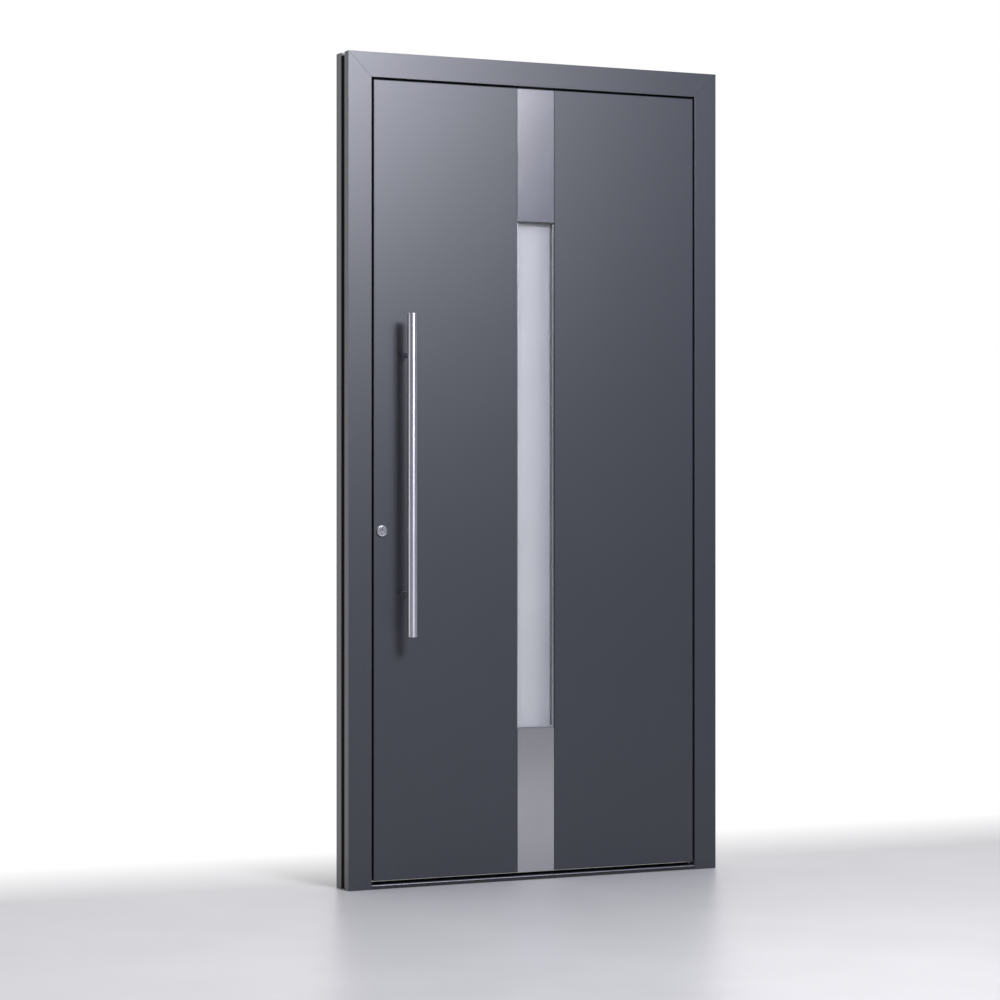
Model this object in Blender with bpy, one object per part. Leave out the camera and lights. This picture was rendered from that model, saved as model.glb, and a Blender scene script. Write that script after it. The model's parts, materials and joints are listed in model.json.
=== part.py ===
"""Aluminium front door: frame, inward-opening leaf, lock and pull bar.

+X runs from the lock side to the hinge side, +Y from outside to inside, +Z up.
The origin is the middle of the threshold's underside, halfway through the frame.
"""

import math

import bmesh
import bpy
from mathutils import Matrix, Vector

# Running and seating clearances
SEAT = 0.0003
MITRE_GAP = 0.0002
BORE_PLAY = 0.0003

# Frame
FRAME_WIDTH = 1.048
FRAME_HEIGHT = 2.100
FRAME_DEPTH = 0.080
FRAME_FACE = 0.063
FRAME_INNER_FACE = 0.041
FRAME_LIP_DEPTH = 0.026
FRAME_BREAK_DEPTH = 0.022
FRAME_WALL = 0.003
FRAME_EDGE_RADIUS = 0.001
BREAK_INSET_WALL_SIDE = 0.006
BREAK_INSET_ROOM_SIDE = 0.005
BREAK_WALL = 0.0025

# Gasket in the frame's stop face
GASKET_GROOVE_INSET = 0.005
GASKET_GROOVE_WIDTH = 0.006
GASKET_GROOVE_DEPTH = 0.003
GASKET_HEIGHT = 0.005
GASKET_LIP_WIDTH = 0.0035

# Gaps round the leaf
LEAF_GAP = 0.0055
STOP_GAP = 0.010
LEAF_BOTTOM = 0.0205

# Threshold
THRESHOLD_HEIGHT = 0.010
THRESHOLD_WALL = 0.0025
THRESHOLD_NOSE_THICKNESS = 0.0025
THRESHOLD_NOSE_CHAMFER = 0.001
THRESHOLD_NOSE_OVERHANG = 0.0015
THRESHOLD_BASE_DROP = 0.0005
THRESHOLD_GASKET_WIDTH = 0.006
THRESHOLD_GASKET_HEIGHT = 0.0052
THRESHOLD_GASKET_FROM_BASE_FRONT = 0.006

# Leaf frame and panel
LEAF_FLANGE = 0.022
MEMBER_WIDTH = 0.080
MEMBER_WALL = 0.003
BOTTOM_RAIL_HEIGHT = 0.110
SKIN = 0.003
SKIN_RETURN = 0.028
FOLD_RADIUS = 0.002
FOLD_STEPS = 3
FACEPLATE_GROOVE_DEPTH = 0.003

# Middle strip with its glass slot
STRIP_WIDTH = 0.104
STRIP_OFFSET = -0.0043
STRIP_JOINT = 0.0015
TOP_PLATE_HEIGHT = 0.3429
BOTTOM_PLATE_HEIGHT = 0.3710
SLOT_RECESS = 0.020
SLOT_TRIM = 0.0025
SLOT_TRIM_SETBACK = 0.003
GLASS_BITE = 0.008
GLASS_THICKNESS = 0.006
SPACER_WIDTH = 0.008
INNER_TRIM_PROUD = 0.003
INNER_TRIM_FLANGE = 0.012

# Pull bar
BAR_DIAMETER = 0.0255
BAR_LENGTH = 0.811
BAR_BOTTOM = 0.6335
BAR_FROM_LEAF = 0.060
BAR_FROM_LEAF_EDGE = 0.0798
BAR_END_CHAMFER = 0.0012
POST_DIAMETER = 0.0155
POST_SPACING = 0.601

# Lock
LOCK_HEIGHT = 0.8989
LOCK_BACKSET = 0.0434
CYLINDER_DIAMETER = 0.022
CYLINDER_PROUD = 0.0045
ROSETTE_DIAMETER = 0.028
ROSETTE_PROUD = 0.006
ROSETTE_EDGE_RADIUS = 0.002
PLUG_DIAMETER = 0.0125
PLUG_ABOVE_CENTRE = 0.0035
PLUG_DEPTH = 0.030
PLUG_PROUD = 0.0008
KEYWAY_WIDTH = 0.0016
KEYWAY_HEIGHT = 0.0086
KEYWAY_DEPTH = 0.010
LEVER_ABOVE_LOCK = 0.092
LEVER_DIAMETER = 0.019
LEVER_LENGTH = 0.125
LEVER_FROM_LEAF = 0.055
LEVER_BEND = 0.018
ROSE_DIAMETER = 0.052
ROSE_THICKNESS = 0.008
FACEPLATE_WIDTH = 0.024
FACEPLATE_INSET = 0.010
FACEPLATE_FROM_LEAF_BOTTOM = 0.2795
FACEPLATE_FROM_LEAF_TOP = 0.2815
LATCH_SIZE = (0.030, 0.013, 0.032)
DEAD_BOLT_SIZE = (0.030, 0.011, 0.044)
DEAD_BOLT_ABOVE_LOCK = 0.030
HOOK_BOLT_SIZE = (0.030, 0.009, 0.050)
HOOK_BOLT_FROM_FACEPLATE_END = 0.120
STRIKE_THICKNESS = 0.0025
STRIKE_POCKET_MARGIN = 0.002

# Bottom seal
SEAL_CARRIER = 0.0027
SEAL_LIP_WIDTH = 0.008
SEAL_LIP_DROP = 0.005
SEAL_LIP_FROM_INSIDE = 0.018

# Hinges
HINGE_BARREL_RADIUS = 0.0095
HINGE_AXIS_FROM_FACE = 0.0125
HINGE_HEIGHT = 0.110
HINGE_END_KNUCKLE = 0.028
HINGE_KNUCKLE_GAP = 0.001
HINGE_PLATE = 0.0045
HINGE_FRAME_PLATE_REACH = 0.040
HINGE_LEAF_PLATE_REACH = 0.048
HINGE_SIDE_PLAY = 0.0015
HINGE_PIN_RADIUS = 0.004
HINGE_CAP_RADIUS = 0.0075
HINGE_CAP_HEIGHT = 0.003
HINGE_FROM_LEAF_BOTTOM = 0.2495
HINGE_FROM_LEAF_TOP = 0.2015

ROUND_SIDES = 32
BAR_SIDES = 48
SMALL_ROUND_SIDES = 24
SMOOTH_ANGLE = math.radians(35)

# Places worked out from the sizes above
OUTER_FACE = -FRAME_DEPTH / 2
INNER_FACE = FRAME_DEPTH / 2
STOP_FACE = OUTER_FACE + FRAME_LIP_DEPTH
BREAK_INSIDE = STOP_FACE + FRAME_BREAK_DEPTH
HALF_WIDTH = FRAME_WIDTH / 2
LIP_EDGE = HALF_WIDTH - FRAME_FACE
LIP_TOP = FRAME_HEIGHT - FRAME_FACE
INNER_EDGE = HALF_WIDTH - FRAME_INNER_FACE
LEAF_EDGE = LIP_EDGE - LEAF_GAP
LEAF_TOP = LIP_TOP - LEAF_GAP
FLANGE_EDGE = LEAF_EDGE + LEAF_FLANGE
FLANGE_TOP = LEAF_TOP + LEAF_FLANGE
FLANGE_FACE = STOP_FACE + STOP_GAP
SKIN_BACK = OUTER_FACE + SKIN
RETURN_END = OUTER_FACE + SKIN_RETURN
INNER_SKIN_BACK = INNER_FACE - SKIN
MEMBER_FOOT = LEAF_BOTTOM + SKIN + SEAT
STRIP_LEFT = STRIP_OFFSET - STRIP_WIDTH / 2
STRIP_RIGHT = STRIP_OFFSET + STRIP_WIDTH / 2
SLOT_BOTTOM = LEAF_BOTTOM + BOTTOM_PLATE_HEIGHT
SLOT_TOP = LEAF_TOP - TOP_PLATE_HEIGHT
GLASS_LEFT = STRIP_LEFT - GLASS_BITE
GLASS_RIGHT = STRIP_RIGHT + GLASS_BITE
GLASS_LOW = SLOT_BOTTOM - GLASS_BITE
GLASS_HIGH = SLOT_TOP + GLASS_BITE
BAR_X = -LEAF_EDGE + BAR_FROM_LEAF_EDGE
BAR_Y = OUTER_FACE - BAR_FROM_LEAF
BAR_MIDDLE = BAR_BOTTOM + BAR_LENGTH / 2
LOCK_X = -FLANGE_EDGE + LOCK_BACKSET
LEVER_Z = LOCK_HEIGHT + LEVER_ABOVE_LOCK
FACEPLATE_BOTTOM = LEAF_BOTTOM + FACEPLATE_FROM_LEAF_BOTTOM
FACEPLATE_TOP = LEAF_TOP - FACEPLATE_FROM_LEAF_TOP
HINGE_X = (FLANGE_EDGE + INNER_EDGE) / 2
HINGE_Y = INNER_FACE + HINGE_AXIS_FROM_FACE
LOWER_HINGE = LEAF_BOTTOM + HINGE_FROM_LEAF_BOTTOM
UPPER_HINGE = LEAF_TOP - HINGE_FROM_LEAF_TOP
HINGE_CENTRES = {
    "lower": LOWER_HINGE,
    "middle": (LOWER_HINGE + UPPER_HINGE) / 2,
    "upper": UPPER_HINGE,
}

MATERIALS = {
    "anthracite": ((0.105, 0.115, 0.125), 0.75, 0.42),
    "anthracite_sheet": ((0.110, 0.120, 0.130), 0.75, 0.40),
    "brushed_steel": ((0.62, 0.62, 0.61), 1.0, 0.32),
    "polished_steel": ((0.75, 0.75, 0.76), 1.0, 0.18),
    "frosted_glass": ((0.62, 0.70, 0.74), 0.0, 0.45),
    "black_rubber": ((0.02, 0.02, 0.02), 0.0, 0.75),
    "polyamide": ((0.035, 0.035, 0.037), 0.0, 0.60),
    "foam": ((0.10, 0.10, 0.105), 0.0, 0.90),
    "raw_aluminium": ((0.60, 0.61, 0.62), 1.0, 0.45),
}


def clear_scene():
    for obj in list(bpy.data.objects):
        bpy.data.objects.remove(obj)


def material_for(name, kind):
    colour, metallic, roughness = MATERIALS[kind]
    material = bpy.data.materials.new(name)
    material.use_nodes = True
    shader = material.node_tree.nodes["Principled BSDF"]
    shader.inputs["Base Color"].default_value = (*colour, 1.0)
    shader.inputs["Metallic"].default_value = metallic
    shader.inputs["Roughness"].default_value = roughness
    material.diffuse_color = (*colour, 1.0)
    return material


def object_from(name, bm, kind=None, parent=None):
    """An object of this mesh; without a material it is a hidden helper."""
    bmesh.ops.recalc_face_normals(bm, faces=bm.faces)
    mesh = bpy.data.meshes.new(name)
    bm.to_mesh(mesh)
    bm.free()
    mesh.shade_smooth()
    mesh.set_sharp_from_angle(angle=SMOOTH_ANGLE)
    obj = bpy.data.objects.new(name, mesh)
    bpy.context.scene.collection.objects.link(obj)
    if kind is None:
        obj.hide_render = True
        obj.display_type = "WIRE"
    else:
        obj.data.materials.append(material_for(name, kind))
    if parent is not None:
        obj.parent = parent
        obj.matrix_parent_inverse = Matrix.Translation(parent.location).inverted()
    return obj


def empty_at(name, place, parent=None):
    empty = bpy.data.objects.new(name, None)
    bpy.context.scene.collection.objects.link(empty)
    empty.location = place
    if parent is not None:
        empty.parent = parent
        empty.matrix_parent_inverse = Matrix.Translation(parent.location).inverted()
    return empty


def boolean(obj, helper, operation="DIFFERENCE"):
    modifier = obj.modifiers.new(helper.name, "BOOLEAN")
    modifier.operation = operation
    modifier.solver = "EXACT"
    modifier.object = helper


# Shapes that the pieces are made from


def rectangle(low_a, low_b, high_a, high_b):
    return [(low_a, low_b), (high_a, low_b), (high_a, high_b), (low_a, high_b)]


def arc(centre_a, centre_b, radius, start, end, steps):
    """Points along an arc, with its angles in degrees."""
    turn = [math.radians(start + (end - start) * step / steps) for step in range(steps + 1)]
    return [(centre_a + radius * math.cos(t), centre_b + radius * math.sin(t)) for t in turn]


def circle(centre_a, centre_b, radius, sides):
    return arc(centre_a, centre_b, radius, 0, 360, sides)[:-1]


def loft(stations, closed=False):
    """A solid through stations, each a list of loops of points: an outline and its holes."""
    bm = bmesh.new()
    rings = [[[bm.verts.new(point) for point in loop] for loop in loops] for loops in stations]
    pairs = list(zip(rings, rings[1:]))
    if closed:
        pairs.append((rings[-1], rings[0]))
    for first, second in pairs:
        for near, far in zip(first, second):
            count = len(near)
            for index in range(count):
                after = (index + 1) % count
                bm.faces.new((near[index], near[after], far[after], far[index]))
    if not closed:
        for loops in (rings[0], rings[-1]):
            edges = [
                bm.edges.get((loop[index], loop[(index + 1) % len(loop)]))
                for loop in loops
                for index in range(len(loop))
            ]
            bmesh.ops.triangle_fill(bm, edges=edges, use_beauty=True)
    return bm


def slab(low, high):
    loop = rectangle(low[0], low[1], high[0], high[1])
    return loft([[[(x, y, z) for x, y in loop]] for z in (low[2], high[2])])


def round_edges(bm, radius, steps, chosen):
    """Rounds the edges whose middle point the given test accepts."""
    edges = [edge for edge in bm.edges if chosen((edge.verts[0].co + edge.verts[1].co) / 2)]
    bmesh.ops.bevel(
        bm, geom=edges, offset=radius, segments=steps, profile=0.5, affect="EDGES"
    )
    return bm


def turned(profile, centre, direction, sides):
    """A solid of revolution: profile holds (distance along direction, radius) from end to end."""
    turn = Vector((0, 0, 1)).rotation_difference(Vector(direction)).to_matrix().to_4x4()
    turn.translation = Vector(centre)
    bm = bmesh.new()
    rings = []
    for along, radius in profile:
        corners = circle(0, 0, radius, sides)
        rings.append([bm.verts.new(turn @ Vector((a, b, along))) for a, b in corners])
    for near, far in zip(rings, rings[1:]):
        for index in range(sides):
            after = (index + 1) % sides
            bm.faces.new((near[index], near[after], far[after], far[index]))
    bm.faces.new(rings[0])
    bm.faces.new(rings[-1])
    return bm


def across_flats(radius, sides):
    """The corner radius of a polygon hole that a round of this radius passes through."""
    return radius / math.cos(math.pi / sides)


# Frame


def jamb_stations(loops, side):
    """Sections of a jamb, mitred at the top. Loops hold (distance from the wall, y)."""
    foot = [[(side * (HALF_WIDTH - a), y, 0) for a, y in loop] for loop in loops]
    top = [
        [(side * (HALF_WIDTH - a), y, FRAME_HEIGHT - a - MITRE_GAP) for a, y in loop]
        for loop in loops
    ]
    return [foot, top]


def head_stations(loops):
    return [
        [
            [(side * (HALF_WIDTH - a - MITRE_GAP), y, FRAME_HEIGHT - a) for a, y in loop]
            for loop in loops
        ]
        for side in (-1, 1)
    ]


def outer_profile_loops():
    """Outer shell, with the gasket's groove in its stop face and one chamber."""
    edge = FRAME_EDGE_RADIUS
    groove_end = FRAME_FACE - GASKET_GROOVE_INSET
    groove_start = groove_end - GASKET_GROOVE_WIDTH
    groove_floor = STOP_FACE - GASKET_GROOVE_DEPTH
    outline = [(0, STOP_FACE), (0, OUTER_FACE)]
    outline += arc(FRAME_FACE - edge, OUTER_FACE + edge, edge, -90, 0, 3)
    outline += [
        (FRAME_FACE, STOP_FACE),
        (groove_end, STOP_FACE),
        (groove_end, groove_floor),
        (groove_start, groove_floor),
        (groove_start, STOP_FACE),
    ]
    chamber = rectangle(
        FRAME_WALL,
        OUTER_FACE + FRAME_WALL,
        FRAME_FACE - FRAME_WALL,
        groove_floor - FRAME_WALL,
    )
    return [outline, chamber]


def break_loops():
    """Polyamide bars that join the shells, with the insulating chamber between them."""
    wall_side = BREAK_INSET_WALL_SIDE
    room_side = FRAME_INNER_FACE - BREAK_INSET_ROOM_SIDE
    front = STOP_FACE + SEAT
    back = BREAK_INSIDE - SEAT
    outline = rectangle(wall_side, front, room_side, back)
    chamber = rectangle(
        wall_side + BREAK_WALL, front + BREAK_WALL, room_side - BREAK_WALL, back - BREAK_WALL
    )
    return [outline, chamber]


def inner_profile_loops():
    edge = FRAME_EDGE_RADIUS
    outline = [(0, INNER_FACE), (0, BREAK_INSIDE), (FRAME_INNER_FACE, BREAK_INSIDE)]
    outline += arc(FRAME_INNER_FACE - edge, INNER_FACE - edge, edge, 0, 90, 3)
    chamber = rectangle(
        FRAME_WALL,
        BREAK_INSIDE + FRAME_WALL,
        FRAME_INNER_FACE - STRIKE_THICKNESS - FRAME_WALL,
        INNER_FACE - FRAME_WALL,
    )
    return [outline, chamber]


def build_frame():
    sections = {
        "outer_profile": (outer_profile_loops(), "anthracite"),
        "thermal_break": (break_loops(), "polyamide"),
        "inner_profile": (inner_profile_loops(), "anthracite"),
    }
    made = {}
    for part, (loops, kind) in sections.items():
        for name, side in (("left_jamb_", -1), ("right_jamb_", 1)):
            made[name + part] = object_from(name + part, loft(jamb_stations(loops, side)), kind)
        made["head_" + part] = object_from("head_" + part, loft(head_stations(loops)), kind)
    return made


def build_frame_gasket():
    """One seal up both jambs and along the head, seated in the groove of the stop face."""
    inner = GASKET_GROOVE_INSET + SEAT
    outer = GASKET_GROOVE_INSET + GASKET_GROOVE_WIDTH - SEAT
    foot_y = STOP_FACE - GASKET_GROOVE_DEPTH + SEAT
    tip_y = STOP_FACE + GASKET_HEIGHT
    middle = (inner + outer) / 2
    half_lip = GASKET_LIP_WIDTH / 2
    section = [(inner, foot_y), (outer, foot_y), (outer, STOP_FACE), (middle + half_lip, STOP_FACE)]
    section += arc(middle, tip_y - half_lip, half_lip, 0, 180, 4)
    section += [(middle - half_lip, STOP_FACE), (inner, STOP_FACE)]
    foot = THRESHOLD_HEIGHT + SEAT
    stations = []
    for side, at_foot in ((-1, True), (-1, False), (1, False), (1, True)):
        points = [
            (side * (LIP_EDGE + w), y, foot if at_foot else LIP_TOP + w) for w, y in section
        ]
        stations.append([points])
    object_from("frame_gasket", loft(stations), "black_rubber")


def bar_along_x(outline, half_length, holes=()):
    """A straight bar whose section holds (y, z) points."""
    loops = [outline, *holes]
    return loft([[[(x, y, z) for y, z in loop] for loop in loops] for x in (-half_length, half_length)])


def build_threshold():
    """An aluminium nose strip on a polyamide base, and an aluminium rail on the room side."""
    top = THRESHOLD_HEIGHT
    chamfer = THRESHOLD_NOSE_CHAMFER
    wall = THRESHOLD_WALL
    nose_low = top - THRESHOLD_NOSE_THICKNESS
    nose_back = STOP_FACE - SEAT
    nose = [
        (OUTER_FACE, nose_low),
        (nose_back, nose_low),
        (nose_back, top),
        (OUTER_FACE + chamfer, top),
        (OUTER_FACE, top - chamfer),
    ]
    object_from("threshold_nose", bar_along_x(nose, LIP_EDGE - SEAT), "raw_aluminium")
    base_top = top - THRESHOLD_BASE_DROP
    base_front = OUTER_FACE + THRESHOLD_NOSE_OVERHANG
    section = [
        (base_front, 0),
        (BREAK_INSIDE - SEAT, 0),
        (BREAK_INSIDE - SEAT, base_top),
        (STOP_FACE, base_top),
        (STOP_FACE, nose_low - SEAT),
        (base_front, nose_low - SEAT),
    ]
    base = object_from("threshold_base", bar_along_x(section, INNER_EDGE - SEAT), "polyamide")
    for name, start, end in (
        ("left_jamb_notch", -HALF_WIDTH, -LIP_EDGE + SEAT),
        ("right_jamb_notch", LIP_EDGE - SEAT, HALF_WIDTH),
    ):
        notch = slab((start, OUTER_FACE - SEAT, -SEAT), (end, STOP_FACE + SEAT, top))
        boolean(base, object_from(name, notch))
    rail = rectangle(BREAK_INSIDE, 0, INNER_FACE, top)
    chamber = rectangle(BREAK_INSIDE + wall, wall, INNER_FACE - wall, top - wall)
    object_from(
        "threshold_inner_rail",
        bar_along_x(rail, INNER_EDGE - SEAT, [chamber]),
        "raw_aluminium",
    )
    half = THRESHOLD_GASKET_WIDTH / 2
    middle = STOP_FACE + THRESHOLD_GASKET_FROM_BASE_FRONT + half
    foot = base_top + SEAT
    gasket = [(middle - half, foot), (middle + half, foot)]
    gasket += arc(middle, foot + THRESHOLD_GASKET_HEIGHT - half, half, 0, 180, 6)
    object_from("threshold_gasket", bar_along_x(gasket, LIP_EDGE - SEAT), "black_rubber")


# Leaf


def member_loops(flange):
    """Section of a leaf frame member: (distance from the flange edge, y), stepped at the rebate."""
    wall = MEMBER_WALL
    outer_edge = flange + SKIN + SEAT
    front = SKIN_BACK + SEAT
    back = INNER_SKIN_BACK - SEAT
    outline = [(outer_edge, front), (MEMBER_WIDTH, front), (MEMBER_WIDTH, back), (0, back)]
    outline += [(0, FLANGE_FACE), (outer_edge, FLANGE_FACE)]
    outer_chamber = rectangle(
        outer_edge + wall, front + wall, MEMBER_WIDTH - wall, RETURN_END - wall
    )
    middle_chamber = rectangle(
        outer_edge + wall, RETURN_END + wall, MEMBER_WIDTH - wall, BREAK_INSIDE - wall
    )
    inner_chamber = rectangle(
        FACEPLATE_GROOVE_DEPTH + wall, BREAK_INSIDE + wall, MEMBER_WIDTH - wall, back - wall
    )
    return [outline, outer_chamber, middle_chamber, inner_chamber]


def build_leaf_frame(leaf):
    loops = member_loops(LEAF_FLANGE)
    made = {}
    for name, side in (("lock_stile", -1), ("hinge_stile", 1)):
        stations = [
            [[(side * (FLANGE_EDGE - a), y, MEMBER_FOOT) for a, y in loop] for loop in loops],
            [
                [(side * (FLANGE_EDGE - a), y, FLANGE_TOP - a - MITRE_GAP) for a, y in loop]
                for loop in loops
            ],
        ]
        made[name] = object_from(name, loft(stations), "anthracite", leaf)
    stations = [
        [[(side * (FLANGE_EDGE - a - MITRE_GAP), y, FLANGE_TOP - a) for a, y in loop] for loop in loops]
        for side in (-1, 1)
    ]
    made["top_rail"] = object_from("top_rail", loft(stations), "anthracite", leaf)
    half = FLANGE_EDGE - MEMBER_WIDTH - SEAT
    front = SKIN_BACK + SEAT
    back = INNER_SKIN_BACK - SEAT
    high = MEMBER_FOOT + BOTTOM_RAIL_HEIGHT
    wall = MEMBER_WALL
    outline = rectangle(front, MEMBER_FOOT, back, high)
    chambers = [
        rectangle(low_y + wall, MEMBER_FOOT + wall, high_y - wall, high - wall)
        for low_y, high_y in ((front, RETURN_END), (RETURN_END, BREAK_INSIDE), (BREAK_INSIDE, back))
    ]
    made["bottom_rail"] = object_from(
        "bottom_rail", bar_along_x(outline, half, chambers), "anthracite", leaf
    )
    return made


def on_fold(point, folded):
    """Whether a point of a sheet's edges lies where its face bends round into a return."""
    near = [abs(point[axis] - place) < SEAT for axis, place in folded]
    return abs(point.y - OUTER_FACE) < SEAT and any(near)


def build_skins(leaf):
    """Folded outer sheets: a flat face with its free edges returned round the leaf."""
    sheets = {
        "left_outer_skin": ((-LEAF_EDGE, LEAF_BOTTOM), (STRIP_LEFT - STRIP_JOINT, LEAF_TOP)),
        "right_outer_skin": ((STRIP_RIGHT + STRIP_JOINT, LEAF_BOTTOM), (LEAF_EDGE, LEAF_TOP)),
        "top_strip_plate": ((STRIP_LEFT, SLOT_TOP + STRIP_JOINT), (STRIP_RIGHT, LEAF_TOP)),
        "bottom_strip_plate": ((STRIP_LEFT, LEAF_BOTTOM), (STRIP_RIGHT, SLOT_BOTTOM - STRIP_JOINT)),
    }
    made = {}
    for name, ((low_x, low_z), (high_x, high_z)) in sheets.items():
        kind = "brushed_steel" if "plate" in name else "anthracite_sheet"
        inside_low = [low_x - SKIN, SKIN_BACK, low_z - SKIN]
        inside_high = [high_x + SKIN, RETURN_END + SKIN, high_z + SKIN]
        folded = []
        if low_x == -LEAF_EDGE:
            inside_low[0] = low_x + SKIN
            folded.append((0, low_x))
        if high_x == LEAF_EDGE:
            inside_high[0] = high_x - SKIN
            folded.append((0, high_x))
        if low_z == LEAF_BOTTOM:
            inside_low[2] = low_z + SKIN
            folded.append((2, low_z))
        if high_z == LEAF_TOP:
            inside_high[2] = high_z - SKIN
            folded.append((2, high_z))
        body = slab((low_x, OUTER_FACE, low_z), (high_x, RETURN_END, high_z))
        round_edges(body, FOLD_RADIUS, FOLD_STEPS, lambda point: on_fold(point, folded))
        sheet = object_from(name, body, kind, leaf)
        boolean(sheet, object_from(name + "_inside", slab(inside_low, inside_high)))
        made[name] = sheet
    made["inner_skin"] = object_from(
        "inner_skin",
        slab((-FLANGE_EDGE, INNER_SKIN_BACK, LEAF_BOTTOM), (FLANGE_EDGE, INNER_FACE, FLANGE_TOP)),
        "anthracite_sheet",
        leaf,
    )
    slot = slab(
        (STRIP_LEFT - SEAT, INNER_SKIN_BACK - SKIN, SLOT_BOTTOM - SEAT),
        (STRIP_RIGHT + SEAT, INNER_FACE + SKIN, SLOT_TOP + SEAT),
    )
    boolean(made["inner_skin"], object_from("inner_slot", slot))
    return made


def build_core(leaf):
    half = FLANGE_EDGE - MEMBER_WIDTH - SEAT
    low = MEMBER_FOOT + BOTTOM_RAIL_HEIGHT + SEAT
    high = FLANGE_TOP - MEMBER_WIDTH - SEAT
    core = object_from(
        "leaf_core",
        slab((-half, SKIN_BACK + SEAT, low), (half, INNER_SKIN_BACK - SEAT, high)),
        "foam",
        leaf,
    )
    opening = slab(
        (GLASS_LEFT - SEAT, OUTER_FACE, GLASS_LOW - SEAT),
        (GLASS_RIGHT + SEAT, INNER_FACE, GLASS_HIGH + SEAT),
    )
    boolean(core, object_from("core_opening", opening))


def ring_round_slot(section):
    """A closed ring round the slot; section holds (distance outside the slot's edge, y)."""
    stations = []
    for side_x, side_z in ((-1, -1), (1, -1), (1, 1), (-1, 1)):
        edge_x = STRIP_RIGHT if side_x > 0 else STRIP_LEFT
        edge_z = SLOT_TOP if side_z > 0 else SLOT_BOTTOM
        stations.append([[(edge_x + side_x * w, y, edge_z + side_z * w) for w, y in section]])
    return loft(stations, closed=True)


def build_glazing(leaf):
    front = OUTER_FACE + SLOT_RECESS
    back = INNER_FACE - SLOT_RECESS
    for name, low_y in (("outer_glass_pane", front), ("inner_glass_pane", back - GLASS_THICKNESS)):
        object_from(
            name,
            slab(
                (GLASS_LEFT, low_y, GLASS_LOW),
                (GLASS_RIGHT, low_y + GLASS_THICKNESS, GLASS_HIGH),
            ),
            "frosted_glass",
            leaf,
        )
    spacer_front = front + GLASS_THICKNESS + SEAT
    spacer_back = back - GLASS_THICKNESS - SEAT
    section = rectangle(GLASS_BITE - SPACER_WIDTH, spacer_front, GLASS_BITE, spacer_back)
    object_from("glass_spacer", ring_round_slot(section), "black_rubber", leaf)
    section = rectangle(-SLOT_TRIM, OUTER_FACE + SLOT_TRIM_SETBACK, 0, front - SEAT)
    object_from("outer_slot_trim", ring_round_slot(section), "brushed_steel", leaf)
    proud = INNER_FACE + INNER_TRIM_PROUD
    section = [
        (-SLOT_TRIM, back + SEAT),
        (0, back + SEAT),
        (0, INNER_FACE + SEAT),
        (INNER_TRIM_FLANGE, INNER_FACE + SEAT),
        (INNER_TRIM_FLANGE, proud),
        (-SLOT_TRIM, proud),
    ]
    object_from("inner_slot_trim", ring_round_slot(section), "anthracite", leaf)


def build_bottom_seal(leaf):
    """Carrier under the leaf with its lip, which hangs clear above the threshold."""
    top = MEMBER_FOOT - SEAT
    low = top - SEAL_CARRIER
    lip_back = INNER_FACE - SEAL_LIP_FROM_INSIDE
    lip_front = lip_back - SEAL_LIP_WIDTH
    lip_low = low - SEAL_LIP_DROP
    section = [
        (FLANGE_FACE, low),
        (lip_front, low),
        (lip_front, lip_low),
        (lip_back, lip_low),
        (lip_back, low),
        (INNER_SKIN_BACK - SEAT, low),
        (INNER_SKIN_BACK - SEAT, top),
        (FLANGE_FACE, top),
    ]
    object_from("bottom_seal", bar_along_x(section, FLANGE_EDGE - SEAT), "black_rubber", leaf)


# Lock and handles


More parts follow.
